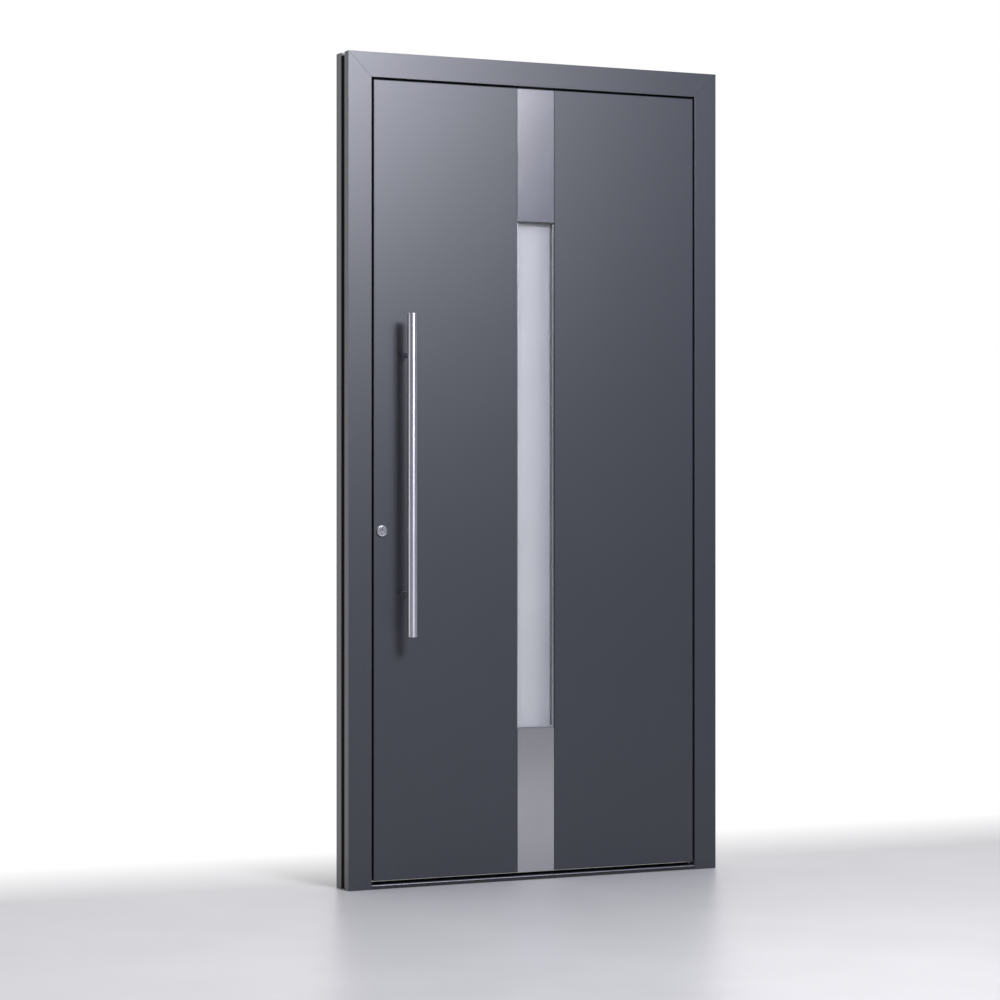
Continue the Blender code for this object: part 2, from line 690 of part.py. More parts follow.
def build_lock(leaf, stile, left_skin, inner_skin, strike_jamb):
    edge = -FLANGE_EDGE
    middle_y = INNER_FACE - FACEPLATE_INSET - FACEPLATE_WIDTH / 2
    half_y = FACEPLATE_WIDTH / 2
    plate_back = edge + FACEPLATE_GROOVE_DEPTH - SEAT
    groove = slab(
        (edge - SKIN, middle_y - half_y - SEAT, FACEPLATE_BOTTOM - SEAT),
        (edge + FACEPLATE_GROOVE_DEPTH, middle_y + half_y + SEAT, FACEPLATE_TOP + SEAT),
    )
    boolean(stile, object_from("faceplate_groove", groove))
    plate = object_from(
        "lock_faceplate",
        slab(
            (edge, middle_y - half_y, FACEPLATE_BOTTOM), (plate_back, middle_y + half_y, FACEPLATE_TOP)
        ),
        "brushed_steel",
        leaf,
    )
    bolts = (
        ("latch_bolt", LATCH_SIZE, LEVER_Z),
        ("dead_bolt", DEAD_BOLT_SIZE, LOCK_HEIGHT + DEAD_BOLT_ABOVE_LOCK),
        ("lower_hook_bolt", HOOK_BOLT_SIZE, FACEPLATE_BOTTOM + HOOK_BOLT_FROM_FACEPLATE_END),
        ("upper_hook_bolt", HOOK_BOLT_SIZE, FACEPLATE_TOP - HOOK_BOLT_FROM_FACEPLATE_END),
    )
    strike_x = -INNER_EDGE
    pocket = slab(
        (strike_x - STRIKE_THICKNESS - SEAT, middle_y - half_y - SEAT, FACEPLATE_BOTTOM - SEAT),
        (strike_x + SKIN, middle_y + half_y + SEAT, FACEPLATE_TOP + SEAT),
    )
    boolean(strike_jamb, object_from("strike_pocket", pocket))
    strike = object_from(
        "strike_plate",
        slab(
            (strike_x - STRIKE_THICKNESS, middle_y - half_y, FACEPLATE_BOTTOM),
            (strike_x, middle_y + half_y, FACEPLATE_TOP),
        ),
        "brushed_steel",
    )
    for name, (depth, width, height), level in bolts:
        low = (edge, middle_y - width / 2, level - height / 2)
        high = (edge + depth, middle_y + width / 2, level + height / 2)
        object_from(name, slab(low, high), "polished_steel", leaf)
        hole = slab(
            (low[0] - SKIN, low[1] - SEAT, low[2] - SEAT), (high[0], high[1] + SEAT, high[2] + SEAT)
        )
        hole = object_from(name + "_hole", hole)
        boolean(stile, hole)
        boolean(plate, hole)
        margin = STRIKE_POCKET_MARGIN
        window = slab(
            (strike_x - depth, low[1] - margin, low[2] - margin),
            (strike_x + SKIN, high[1] + margin, high[2] + margin),
        )
        window = object_from(name + "_window", window)
        boolean(strike_jamb, window)
        boolean(strike, window)

    radius = CYLINDER_DIAMETER / 2
    hole_radius = across_flats(radius, ROUND_SIDES) + SEAT
    centre = (LOCK_X, 0, LOCK_HEIGHT)
    through = turned(
        [(-FRAME_DEPTH, hole_radius), (FRAME_DEPTH, hole_radius)], centre, (0, 1, 0), ROUND_SIDES
    )
    through = object_from("cylinder_hole", through)
    for obj in (stile, left_skin, inner_skin):
        boolean(obj, through)
    cylinder_end = INNER_FACE + CYLINDER_PROUD
    cylinder = object_from(
        "lock_cylinder",
        turned([(-cylinder_end, radius), (cylinder_end, radius)], centre, (0, 1, 0), ROUND_SIDES),
        "polished_steel",
        leaf,
    )
    plug_centre = (LOCK_X, 0, LOCK_HEIGHT + PLUG_ABOVE_CENTRE)
    plug_radius = PLUG_DIAMETER / 2
    bore_radius = across_flats(plug_radius + BORE_PLAY, SMALL_ROUND_SIDES)
    plug_back = -cylinder_end + PLUG_DEPTH
    bore = turned(
        [(-cylinder_end - SKIN, bore_radius), (plug_back, bore_radius)],
        plug_centre,
        (0, 1, 0),
        SMALL_ROUND_SIDES,
    )
    boolean(cylinder, object_from("plug_bore", bore))
    turning = empty_at("key_plug_axis", (LOCK_X, -cylinder_end, LOCK_HEIGHT + PLUG_ABOVE_CENTRE), leaf)
    plug_front = -cylinder_end - PLUG_PROUD
    plug = object_from(
        "key_plug",
        turned(
            [(plug_front, plug_radius), (plug_back - BORE_PLAY, plug_radius)],
            plug_centre,
            (0, 1, 0),
            SMALL_ROUND_SIDES,
        ),
        "polished_steel",
        turning,
    )
    keyway = slab(
        (LOCK_X - KEYWAY_WIDTH / 2, plug_front - SKIN, plug_centre[2] - KEYWAY_HEIGHT / 2),
        (LOCK_X + KEYWAY_WIDTH / 2, plug_front + KEYWAY_DEPTH, plug_centre[2] + KEYWAY_HEIGHT / 2),
    )
    boolean(plug, object_from("keyway", keyway))

    rosette_bore = across_flats(radius, ROUND_SIDES) + SEAT
    for name, face, outward in (("outer_rosette", OUTER_FACE, -1), ("inner_rosette", INNER_FACE, 1)):
        outer = ROSETTE_DIAMETER / 2
        rise = ROSETTE_PROUD
        edge = ROSETTE_EDGE_RADIUS
        profile = [(SEAT, outer), *arc(rise - edge, outer - edge, edge, 90, 0, 4)]
        body = turned(profile, (LOCK_X, face, LOCK_HEIGHT), (0, outward, 0), ROUND_SIDES)
        rosette = object_from(name, body, "brushed_steel", leaf)
        hole = turned(
            [(-SKIN, rosette_bore), (rise + SKIN, rosette_bore)],
            (LOCK_X, face, LOCK_HEIGHT),
            (0, outward, 0),
            ROUND_SIDES,
        )
        boolean(rosette, object_from(name + "_bore", hole))


def build_lever(leaf):
    rose = turned(
        [(SEAT, ROSE_DIAMETER / 2), (ROSE_THICKNESS, ROSE_DIAMETER / 2)],
        (LOCK_X, INNER_FACE, LEVER_Z),
        (0, 1, 0),
        ROUND_SIDES,
    )
    object_from("lever_rose", rose, "brushed_steel", leaf)
    start_y = INNER_FACE + ROSE_THICKNESS + SEAT
    bar_y = INNER_FACE + LEVER_FROM_LEAF
    bend_centre = (LOCK_X + LEVER_BEND, bar_y - LEVER_BEND)
    path = [(LOCK_X, start_y)]
    path += arc(*bend_centre, LEVER_BEND, 180, 90, 6)
    path += [(LOCK_X + LEVER_LENGTH, bar_y)]
    curve = bpy.data.curves.new("lever_handle", "CURVE")
    curve.dimensions = "3D"
    curve.bevel_depth = LEVER_DIAMETER / 2
    curve.bevel_resolution = 4
    curve.use_fill_caps = True
    spline = curve.splines.new("POLY")
    spline.points.add(len(path) - 1)
    for point, (x, y) in zip(spline.points, path):
        point.co = (x, y, LEVER_Z, 1)
    lever = bpy.data.objects.new("lever_handle", curve)
    curve.materials.append(material_for("lever_handle", "brushed_steel"))
    bpy.context.scene.collection.objects.link(lever)
    lever.parent = leaf
    lever.matrix_parent_inverse = Matrix.Translation(leaf.location).inverted()


def build_pull_bar(leaf):
    radius = BAR_DIAMETER / 2
    chamfer = BAR_END_CHAMFER
    profile = [
        (0, radius - chamfer),
        (chamfer, radius),
        (BAR_LENGTH - chamfer, radius),
        (BAR_LENGTH, radius - chamfer),
    ]
    bar = turned(profile, (BAR_X, BAR_Y, BAR_BOTTOM), (0, 0, 1), BAR_SIDES)
    object_from("pull_bar", bar, "polished_steel", leaf)
    saddle = turned(
        [(0, radius + SEAT), (BAR_LENGTH, radius + SEAT)],
        (BAR_X, BAR_Y, BAR_BOTTOM),
        (0, 0, 1),
        BAR_SIDES,
    )
    saddle = object_from("post_saddle", saddle)
    post = POST_DIAMETER / 2
    for name, side in (("lower_pull_post", -1), ("upper_pull_post", 1)):
        place = (BAR_X, OUTER_FACE, BAR_MIDDLE + side * POST_SPACING / 2)
        body = turned([(SEAT, post), (BAR_FROM_LEAF, post)], place, (0, -1, 0), ROUND_SIDES)
        boolean(object_from(name, body, "polished_steel", leaf), saddle)


# Hinges


def knuckle_loops(side, reach):
    """Barrel and plate of one half: (x, y) from the pin, with the pin's bore."""
    face = -HINGE_AXIS_FROM_FACE + SEAT
    plate_top = face + HINGE_PLATE
    start = INNER_EDGE - HINGE_X
    radius = HINGE_BARREL_RADIUS
    start_angle = -math.degrees(math.acos(start / radius))
    outline = [(reach, face), (start, face)]
    outline += arc(0, 0, radius, start_angle, -375, SMALL_ROUND_SIDES)
    outline += [(radius + HINGE_PLATE, plate_top), (reach, plate_top)]
    bore = circle(0, 0, across_flats(HINGE_PIN_RADIUS + BORE_PLAY, SMALL_ROUND_SIDES), SMALL_ROUND_SIDES)
    return [[(HINGE_X + side * x, HINGE_Y + y) for x, y in loop] for loop in (outline, bore)]


def plate_loop(side, reach):
    face = -HINGE_AXIS_FROM_FACE + SEAT
    near = HINGE_BARREL_RADIUS + HINGE_SIDE_PLAY
    loop = rectangle(near, face, reach, face + HINGE_PLATE)
    return [(HINGE_X + side * x, HINGE_Y + y) for x, y in loop]


def upright(loops, low, high):
    return loft([[[(x, y, z) for x, y in loop] for loop in loops] for z in (low, high)])


def build_hinge(name, centre, leaf):
    low = centre - HINGE_HEIGHT / 2
    high = centre + HINGE_HEIGHT / 2
    knuckle_low = low + HINGE_END_KNUCKLE
    knuckle_high = high - HINGE_END_KNUCKLE
    frame_loops = knuckle_loops(1, HINGE_FRAME_PLATE_REACH)
    frame_half = object_from(
        name + "_hinge_frame_half",
        upright([plate_loop(1, HINGE_FRAME_PLATE_REACH)], low, high),
        "anthracite",
    )
    for part, start, end in (("foot", low, knuckle_low), ("crown", knuckle_high, high)):
        helper = object_from(name + "_hinge_" + part, upright(frame_loops, start, end))
        boolean(frame_half, helper, "UNION")
    leaf_loops = knuckle_loops(-1, HINGE_LEAF_PLATE_REACH)
    leaf_half = object_from(
        name + "_hinge_leaf_half",
        upright([plate_loop(-1, HINGE_LEAF_PLATE_REACH)], low, high),
        "anthracite",
        leaf,
    )
    gap = HINGE_KNUCKLE_GAP
    helper = object_from(
        name + "_hinge_barrel", upright(leaf_loops, knuckle_low + gap, knuckle_high - gap)
    )
    boolean(leaf_half, helper, "UNION")
    cap_start = SEAT
    pin = [
        (-cap_start - HINGE_CAP_HEIGHT, HINGE_CAP_RADIUS),
        (-cap_start, HINGE_CAP_RADIUS),
        (-cap_start, HINGE_PIN_RADIUS),
        (HINGE_HEIGHT + cap_start, HINGE_PIN_RADIUS),
        (HINGE_HEIGHT + cap_start, HINGE_CAP_RADIUS),
        (HINGE_HEIGHT + cap_start + HINGE_CAP_HEIGHT, HINGE_CAP_RADIUS),
    ]
    body = turned(pin, (HINGE_X, HINGE_Y, low), (0, 0, 1), SMALL_ROUND_SIDES)
    object_from(name + "_hinge_pin", body, "polished_steel")


def main():
    clear_scene()
    frame = build_frame()
    build_frame_gasket()
    build_threshold()
    leaf = empty_at("leaf_hinge_axis", (HINGE_X, HINGE_Y, 0))
    members = build_leaf_frame(leaf)
    skins = build_skins(leaf)
    build_core(leaf)
    build_glazing(leaf)
    build_bottom_seal(leaf)
    build_lock(
        leaf,
        members["lock_stile"],
        skins["left_outer_skin"],
        skins["inner_skin"],
        frame["left_jamb_inner_profile"],
    )
    build_lever(leaf)
    build_pull_bar(leaf)
    for name, centre in HINGE_CENTRES.items():
        build_hinge(name, centre, leaf)


main()
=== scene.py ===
"""Looks of the aluminium front door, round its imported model.

+X runs from the lock side to the hinge side, +Y from outside to inside, +Z up, in metres.
"""

import json
import math

import bmesh
import bpy
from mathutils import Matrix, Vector


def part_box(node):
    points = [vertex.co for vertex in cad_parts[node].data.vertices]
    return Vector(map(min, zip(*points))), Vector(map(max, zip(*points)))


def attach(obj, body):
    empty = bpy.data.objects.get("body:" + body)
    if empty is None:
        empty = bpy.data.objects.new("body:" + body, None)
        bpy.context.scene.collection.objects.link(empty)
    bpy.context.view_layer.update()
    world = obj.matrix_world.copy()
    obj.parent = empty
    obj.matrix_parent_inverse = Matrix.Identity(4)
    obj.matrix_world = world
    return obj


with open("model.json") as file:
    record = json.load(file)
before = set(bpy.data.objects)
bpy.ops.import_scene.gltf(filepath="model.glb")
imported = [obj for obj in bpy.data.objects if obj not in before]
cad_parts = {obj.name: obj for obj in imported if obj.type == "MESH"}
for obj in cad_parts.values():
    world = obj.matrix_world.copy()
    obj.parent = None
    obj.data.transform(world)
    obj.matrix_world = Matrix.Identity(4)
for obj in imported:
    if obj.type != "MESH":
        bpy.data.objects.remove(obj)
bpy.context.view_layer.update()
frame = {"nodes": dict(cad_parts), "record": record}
NODES = frame["nodes"]
SLOT_OF_NODE = {row["node"]: row["material_slot"] for row in frame["record"]["subparts"]}

# Camera, at the photograph's place
CAMERA_PLACE = (-3.3110, -6.8794, 1.0281)
CAMERA_LEVEL = math.radians(90)
CAMERA_YAW = math.radians(-25.107)
CAMERA_LENS = 106.35
CAMERA_SHIFT_Y = -0.02057

# Studio lamps
KEY_PLACE = (0.0, -2.90, 2.80)
KEY_AIM = (0.0, 0.0, 1.05)
KEY_SIZE = (0.86, 0.80)
KEY_POWER = 134.0
KEY_COLOUR = (0.875, 0.88, 1.0)
CARD_PLACE = (1.01, -3.60, 2.62)
CARD_AIM = (0.0, 0.0, 2.0)
CARD_SIZE = (0.36, 0.62)
CARD_POWER = 7.8
WHITE = (1.0, 1.0, 1.0)

# Light from all round: its colours, and the Y and Z of a direction over which they change
FRONT_LOW = (0.125, 0.13, 0.20)
FRONT_HIGH = (0.31, 0.33, 0.44)
BACK_LIGHT = (0.90, 0.91, 0.95)
BEHIND_FADE = (-0.10, 0.15)
OVERHEAD_FADE = (0.15, 0.75)

# Floor, and the distances before and behind the door over which it fades to white
FLOOR_COLOUR = (0.535, 0.525, 0.50)
FLOOR_ROUGHNESS = 0.35
FLOOR_HALF = 14.0
FLOOR_DROP = 0.0005
FLOOR_FRONT_FADE = (5.0, 9.0)
FLOOR_BACK_FADE = (0.10, 0.70)

# Usual range of a noise
NOISE_LOW = 0.3
NOISE_HIGH = 0.7

# Noises: waves a metre, detail and, where given, roughness
COAT_CLOUDS = (6.0, 3.0)
COAT_GRAIN = (900.0, 2.0)
COAT_GLOSS_GRAIN = (240.0, 3.0)
SHEET_WAVES = (4.0, 1.0)
ORANGE_PEEL = (520.0, 2.0)
METAL_CLOUDS = (9.0, 2.0)
METAL_SCRATCHES = (1500.0, 4.0, 0.65)
GLASS_CLOUDS = (5.0, 2.0)
GLASS_GRAIN = (1600.0, 3.0)
POLYMER_DETAIL = 3.0
POLYMER_GLOSS_GRAIN = (60.0, 2.0)
FOAM_CELLS = 420.0
FLOOR_GRAIN = (2.5, 5.0, 0.6)

# How far the tone goes to each side of the plain colour
COAT_CLOUD_TONE = 0.03
COAT_GRAIN_TONE = 0.10
METAL_CLOUD_TONE = 0.03
METAL_SCRATCH_TONE = 0.05
GLASS_TONE = 0.02
POLYMER_TONE = 0.15
FLOOR_TONE = 0.04

# How far the roughness goes to each side of its middle
COAT_GLOSS = 0.02
METAL_GLOSS = 0.02
GLASS_GLOSS = 0.05
POLYMER_GLOSS = 0.06

# Relief: its height and strength
SHEET_RELIEF = (0.0004, 0.5)
PEEL_RELIEF = (0.00006, 0.35)
SCRATCH_RELIEF = (0.000006, 0.25)
GLASS_RELIEF = (0.00005, 0.3)
FOAM_RELIEF = (0.0006, 0.6)
POLYMER_RELIEF_STRENGTH = 0.5

# Moulded grain: waves a metre and relief height
RUBBER_GRAIN = (700.0, 0.0001)
PLASTIC_GRAIN = (900.0, 0.00005)

# Tone in the middle of a foam cell and at its wall, and how far from the middle each is
FOAM_TONES = (1.05, 0.80)
FOAM_WALL = (0.0, 0.6)

# Other properties of the coat, the aluminium and the glass
COAT_COLOUR = (0.0215, 0.0245, 0.031)
COAT_SPECULAR = 0.94
ALUMINIUM_COLOUR = (0.60, 0.61, 0.63)
GLASS_TRANSMISSION = 0.82
GLASS_SPECULAR = 0.3
GLASS_IOR = 1.45

# Scratches, drawn out along one axis
ALONG_X = (0.012, 1.0, 1.0)
ALONG_Z = (1.0, 1.0, 0.012)

# Steel turned round its axis: how far gloss is stretched, and which way
TURNED_GLOSS = (0.72, 0.25)

# Dull lining of the trim and the threshold, and where it changes to bare metal; the trim's dark head
# lining is painted shade and its paler side lining is painted light
TRIM_HEAD_PAINTED_SHADE = (0.045, 0.045, 0.047)
TRIM_SIDE_PAINTED_LIGHT = (0.21, 0.21, 0.215)
THRESHOLD_LINING = (0.018, 0.018, 0.020)
LINING_FADE = 0.0004
TRIM_FRONT = -0.0366
TRIM_WALL = 0.0025
THRESHOLD_TOP = 0.0084

# Edges that the real pieces have, too fine for the solids
EDGE_ANGLE = math.radians(30)
EDGE_STEPS = 2
WELD_DISTANCE = 0.00002
EDGE_OF_SLOT = {
    "anthracite_profile": 0.0005,
    "anthracite_sheet": 0.0005,
    "brushed_steel": 0.0005,
    "polished_steel": 0.0004,
    "black_rubber": 0.0005,
    "bare_aluminium": 0.0003,
}
EDGE_OF_NODE = {"outer_slot_trim": 0.0002}

# Screw heads: radius, rise above the face, socket across flats, socket depth
PAN_HEAD = (0.0040, 0.0018, 0.0032, 0.0014)
COUNTERSUNK_HEAD = (0.0036, 0.0006, 0.0028, 0.0005)

# The dome of a head, outside to inside, in shares of its radius and its rise
DOME = ((1.0, 0.2), (0.88, 0.7), (0.7, 1.0))
SCREW_SEAT = 0.0003
SCREW_SIDES = 24
SOCKET_SIDE = math.radians(60)

# Places of the screws
HINGE_PLATE = 0.0045
HINGE_SCREW_FROM_END = 0.0125
HINGE_SCREW_RISES = (-0.044, -0.015, 0.015, 0.044)
LEAF_SCREW_STEPS = (0.010, 0.0, 0.0, 0.010)
LOCK_SCREW_HEIGHTS = (0.314, 0.480, 0.700, 0.880, 1.035, 1.350, 1.570, 1.736)


# Shader nodes, in a holder that is a material or the world


def linked(holder, kind, **inputs):
    """A new shader node with these inputs: each a value, or a socket to link."""
    node = holder.node_tree.nodes.new(kind)
    for name, value in inputs.items():
        set_input(holder, node.inputs[name.replace("_", " ")], value)
    return node


def set_input(holder, socket, value):
    """The socket set to a value, or linked to another socket."""
    if isinstance(value, bpy.types.NodeSocket):
        holder.node_tree.links.new(value, socket)
    else:
        socket.default_value = value


def spread(holder, value, low, high, from_low=NOISE_LOW, from_high=NOISE_HIGH):
    """The value's range, that of a noise unless given, mapped to low..high."""
    node = linked(holder, "ShaderNodeMapRange", Value=value)
    node.inputs["From Min"].default_value = from_low
    node.inputs["From Max"].default_value = from_high
    node.inputs["To Min"].default_value = low
    node.inputs["To Max"].default_value = high
    return node.outputs["Result"]


def calculated(holder, operation, first, second):
    node = linked(holder, "ShaderNodeMath")
    node.operation = operation
    set_input(holder, node.inputs[0], first)
    set_input(holder, node.inputs[1], second)
    return node.outputs[0]


def times(holder, first, second):
    return calculated(holder, "MULTIPLY", first, second)


def maximum(holder, first, second):
    return calculated(holder, "MAXIMUM", first, second)


def mixed(holder, factor, first, second):
    """A colour between two, each given as a colour or a socket."""
    node = linked(holder, "ShaderNodeMix")
    node.data_type = "RGBA"
    set_input(holder, node.inputs["Factor"], factor)
    sockets = [socket for socket in node.inputs if socket.type == "RGBA"]
    for socket, colour in zip(sockets, (first, second)):
        is_socket = isinstance(colour, bpy.types.NodeSocket)
        set_input(holder, socket, colour if is_socket else (*colour, 1.0))
    return [socket for socket in node.outputs if socket.type == "RGBA"][0]


def seen_directly(holder):
    """1 for rays that show the background: from the camera, off gloss or through glass."""
    path = linked(holder, "ShaderNodeLightPath")
    seen = path.outputs["Is Camera Ray"]
    for ray in ("Is Glossy Ray", "Is Transmission Ray"):
        seen = maximum(holder, seen, path.outputs[ray])
    return seen


# Parts of a material


def new_material(name, colour, metallic=0.0, roughness=0.5):
    """A plain material, with its main shader."""
    material = bpy.data.materials.new(name)
    material.use_nodes = True
    shader = material.node_tree.nodes["Principled BSDF"]
    shader.inputs["Base Color"].default_value = (*colour, 1.0)
    shader.inputs["Metallic"].default_value = metallic
    shader.inputs["Roughness"].default_value = roughness
    material.diffuse_color = (*colour, 1.0)
    return material, shader


def coordinates(material, stretch=(1.0, 1.0, 1.0)):
    """Places on the object in metres, stretched for brushed or drawn surfaces."""
    place = linked(material, "ShaderNodeTexCoord")
    mapping = linked(material, "ShaderNodeMapping", Vector=place.outputs["Object"])
    mapping.inputs["Scale"].default_value = stretch
    return mapping.outputs["Vector"]


def noise(material, vector, scale, detail, roughness=0.5):
    return linked(
        material,
        "ShaderNodeTexNoise",
        Vector=vector,
        Scale=scale,
        Detail=detail,
        Roughness=roughness,
    ).outputs["Fac"]


def varied(material, grain, middle, reach):
    """The grain spread to this far on each side of the middle."""
    return spread(material, grain, middle - reach, middle + reach)


def tone(material, grain, reach):
    """A factor that makes a colour lighter and darker with the grain."""
    return varied(material, grain, 1.0, reach)


def tinted(material, colour, factor):
    """The colour made lighter or darker by a factor that changes over the surface."""
    node = linked(material, "ShaderNodeVectorMath")
    node.operation = "SCALE"
    node.inputs[0].default_value = colour
    set_input(material, node.inputs["Scale"], factor)
    return node.outputs["Vector"]


def bump(material, grain, height, strength, under=None):
    """The grain as relief, on top of another relief where one is given."""
    node = linked(material, "ShaderNodeBump", Height=grain)
    node.inputs["Strength"].default_value = strength
    node.inputs["Distance"].default_value = height
    if under is not None:
        material.node_tree.links.new(under, node.inputs["Normal"])
    return node.outputs["Normal"]


# Materials


def powder_coat(name, colour, roughness):
    """Satin coat: fine grain in its colour and gloss, orange peel, and slight waves in the sheet."""
    material, shader = new_material(name, colour)
    place = coordinates(material)
    clouds = tone(material, noise(material, place, *COAT_CLOUDS), COAT_CLOUD_TONE)
    grain = tone(material, noise(material, place, *COAT_GRAIN), COAT_GRAIN_TONE)
    colour_now = tinted(material, colour, times(material, clouds, grain))
    set_input(material, shader.inputs["Base Color"], colour_now)
    gloss = varied(material, noise(material, place, *COAT_GLOSS_GRAIN), roughness, COAT_GLOSS)
    set_input(material, shader.inputs["Roughness"], gloss)
    waves = bump(material, noise(material, place, *SHEET_WAVES), *SHEET_RELIEF)
    skin = bump(material, noise(material, place, *ORANGE_PEEL), *PEEL_RELIEF, under=waves)
    set_input(material, shader.inputs["Normal"], skin)
    shader.inputs["Specular IOR Level"].default_value = COAT_SPECULAR
    return material


def brushed_metal(name, colour, roughness, stretch, anisotropy=0.0, turn=0.0):
    """Ground metal: long fine scratches in its colour, gloss and relief."""
    material, shader = new_material(name, colour, metallic=1.0)
    place = coordinates(material, stretch)
    scratches = noise(material, place, *METAL_SCRATCHES)
    clouds = noise(material, coordinates(material), *METAL_CLOUDS)
    both = times(
        material,
        tone(material, scratches, METAL_SCRATCH_TONE),
        tone(material, clouds, METAL_CLOUD_TONE),
    )
    set_input(material, shader.inputs["Base Color"], tinted(material, colour, both))
    gloss = varied(material, scratches, roughness, METAL_GLOSS)
    set_input(material, shader.inputs["Roughness"], gloss)
    set_input(material, shader.inputs["Normal"], bump(material, scratches, *SCRATCH_RELIEF))
    shader.inputs["Anisotropic"].default_value = anisotropy
    shader.inputs["Anisotropic Rotation"].default_value = turn
    return material


def lined_metal(name, colour, roughness, stretch, parts):
    """Brushed metal where parts gives 1, and the dull lining that it also gives elsewhere; on the
    slot trim both carry painted light and shade.
    """
    material = brushed_metal(name, colour, roughness, stretch)
    shader = material.node_tree.nodes["Principled BSDF"]
    place = linked(material, "ShaderNodeSeparateXYZ", Vector=coordinates(material)).outputs
    bare, lining = parts(material, place)
    metal_colour = shader.inputs["Base Color"].links[0].from_socket
    set_input(material, shader.inputs["Base Color"], mixed(material, bare, lining, metal_colour))
    set_input(material, shader.inputs["Metallic"], bare)
    return material


def below(material, value, limit):
    """1 below the limit, 0 above it."""
    return spread(material, value, 1.0, 0.0, limit, limit + LINING_FADE)


def painted_trim_parts(material, place):
    """Painted light and shade on one steel trim: bare metal on the lit sill and on the side front
    edges, none on the shaded head, and a lining painted darker under the head than on the sides.
    """
    low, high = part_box("outer_slot_trim")
    front = below(material, place["Y"], TRIM_FRONT)
    # Bare metal all across the sill, where light falls on it: painted light
    lit_sill = below(material, place["Z"], low.z + TRIM_WALL)
    # Painted shade: the head, its front edge too, gets the dark lining and no bare metal
    outside_head_shade = below(material, place["Z"], high.z - TRIM_WALL - LINING_FADE)
    bare = maximum(material, times(material, front, outside_head_shade), lit_sill)
    return bare, mixed(material, outside_head_shade, TRIM_HEAD_PAINTED_SHADE, TRIM_SIDE_PAINTED_LIGHT)


def threshold_parts(material, place):
    """A bare worn top, and a dark lining below it."""
    top = spread(material, place["Z"], 0.0, 1.0, THRESHOLD_TOP, THRESHOLD_TOP + LINING_FADE)
    return top, THRESHOLD_LINING


def frosted_glass(name, colour, roughness):
    """Satin glass that scatters light through, with a fine etched face."""
    material, shader = new_material(name, colour, roughness=roughness)
    place = coordinates(material)
    clouds = tone(material, noise(material, place, *GLASS_CLOUDS), GLASS_TONE)
    set_input(material, shader.inputs["Base Color"], tinted(material, colour, clouds))
    grain = noise(material, place, *GLASS_GRAIN)
    set_input(material, shader.inputs["Roughness"], varied(material, grain, roughness, GLASS_GLOSS))
    set_input(material, shader.inputs["Normal"], bump(material, grain, *GLASS_RELIEF))
    shader.inputs["Transmission Weight"].default_value = GLASS_TRANSMISSION
    shader.inputs["Specular IOR Level"].default_value = GLASS_SPECULAR
    shader.inputs["IOR"].default_value = GLASS_IOR
    return material


def dull_polymer(name, colour, roughness, grain_scale, relief):
    """Rubber or plastic: matt, with a fine moulded grain."""
    material, shader = new_material(name, colour, roughness=roughness)
    place = coordinates(material)
    grain = noise(material, place, grain_scale, POLYMER_DETAIL)
    colour_now = tinted(material, colour, tone(material, grain, POLYMER_TONE))
    set_input(material, shader.inputs["Base Color"], colour_now)
    gloss = varied(material, noise(material, place, *POLYMER_GLOSS_GRAIN), roughness, POLYMER_GLOSS)
    set_input(material, shader.inputs["Roughness"], gloss)
    moulded = bump(material, grain, relief, POLYMER_RELIEF_STRENGTH)
    set_input(material, shader.inputs["Normal"], moulded)
    return material


def foam(name, colour, roughness):
    """Insulation with small open cells."""
    material, shader = new_material(name, colour, roughness=roughness)
    cells = linked(
        material, "ShaderNodeTexVoronoi", Vector=coordinates(material), Scale=FOAM_CELLS
    ).outputs["Distance"]
    cell_tone = spread(material, cells, *FOAM_TONES, *FOAM_WALL)
    set_input(material, shader.inputs["Base Color"], tinted(material, colour, cell_tone))
    set_input(material, shader.inputs["Normal"], bump(material, cells, *FOAM_RELIEF))
    return material


# Each look: the function that makes it, its colour, its roughness and the rest of its values
LOOKS = {
    "anthracite_profile": (powder_coat, COAT_COLOUR, 0.43),
    "anthracite_sheet": (powder_coat, COAT_COLOUR, 0.425),
    "brushed_steel": (brushed_metal, (0.595, 0.595, 0.60), 0.207, ALONG_Z),
    "polished_steel": (brushed_metal, (0.80, 0.80, 0.81), 0.29, ALONG_X, *TURNED_GLOSS),
    "frosted_glass": (frosted_glass, (0.776, 0.783, 0.797), 0.62),
    "black_rubber": (dull_polymer, (0.012, 0.012, 0.013), 0.70, *RUBBER_GRAIN),
    "polyamide": (dull_polymer, (0.020, 0.020, 0.021), 0.55, *PLASTIC_GRAIN),
    "insulation": (foam, (0.10, 0.10, 0.105), 0.95),
    "bare_aluminium": (brushed_metal, ALUMINIUM_COLOUR, 0.42, ALONG_X),
    "spacer_pale": (dull_polymer, (0.86, 0.87, 0.89), 0.60, *PLASTIC_GRAIN),
    "lock_nickel": (brushed_metal, (0.68, 0.68, 0.69), 0.30, ALONG_X),
    "bright_steel": (brushed_metal, (0.84, 0.84, 0.85), 0.26, ALONG_X),
    # Slot trim: painted light on its sill and sides, painted shade under its head
    "trim_painted_light_and_shade": (lined_metal, (0.90, 0.90, 0.92), 0.25, ALONG_Z, painted_trim_parts),
    "worn_threshold": (lined_metal, ALUMINIUM_COLOUR, 0.42, ALONG_X, threshold_parts),
}
MATERIALS = {name: make(name, *values) for name, (make, *values) in LOOKS.items()}

# Nodes that look different from their slot
LOOK_OF_NODE = {
    "lock_cylinder": "lock_nickel",
    "key_plug": "lock_nickel",
    "outer_rosette": "bright_steel",
    "inner_rosette": "bright_steel",
    "glass_spacer": "spacer_pale",
    # The slot trim carries painted light and shade
    "outer_slot_trim": "trim_painted_light_and_shade",
    "threshold_nose": "worn_threshold",
}


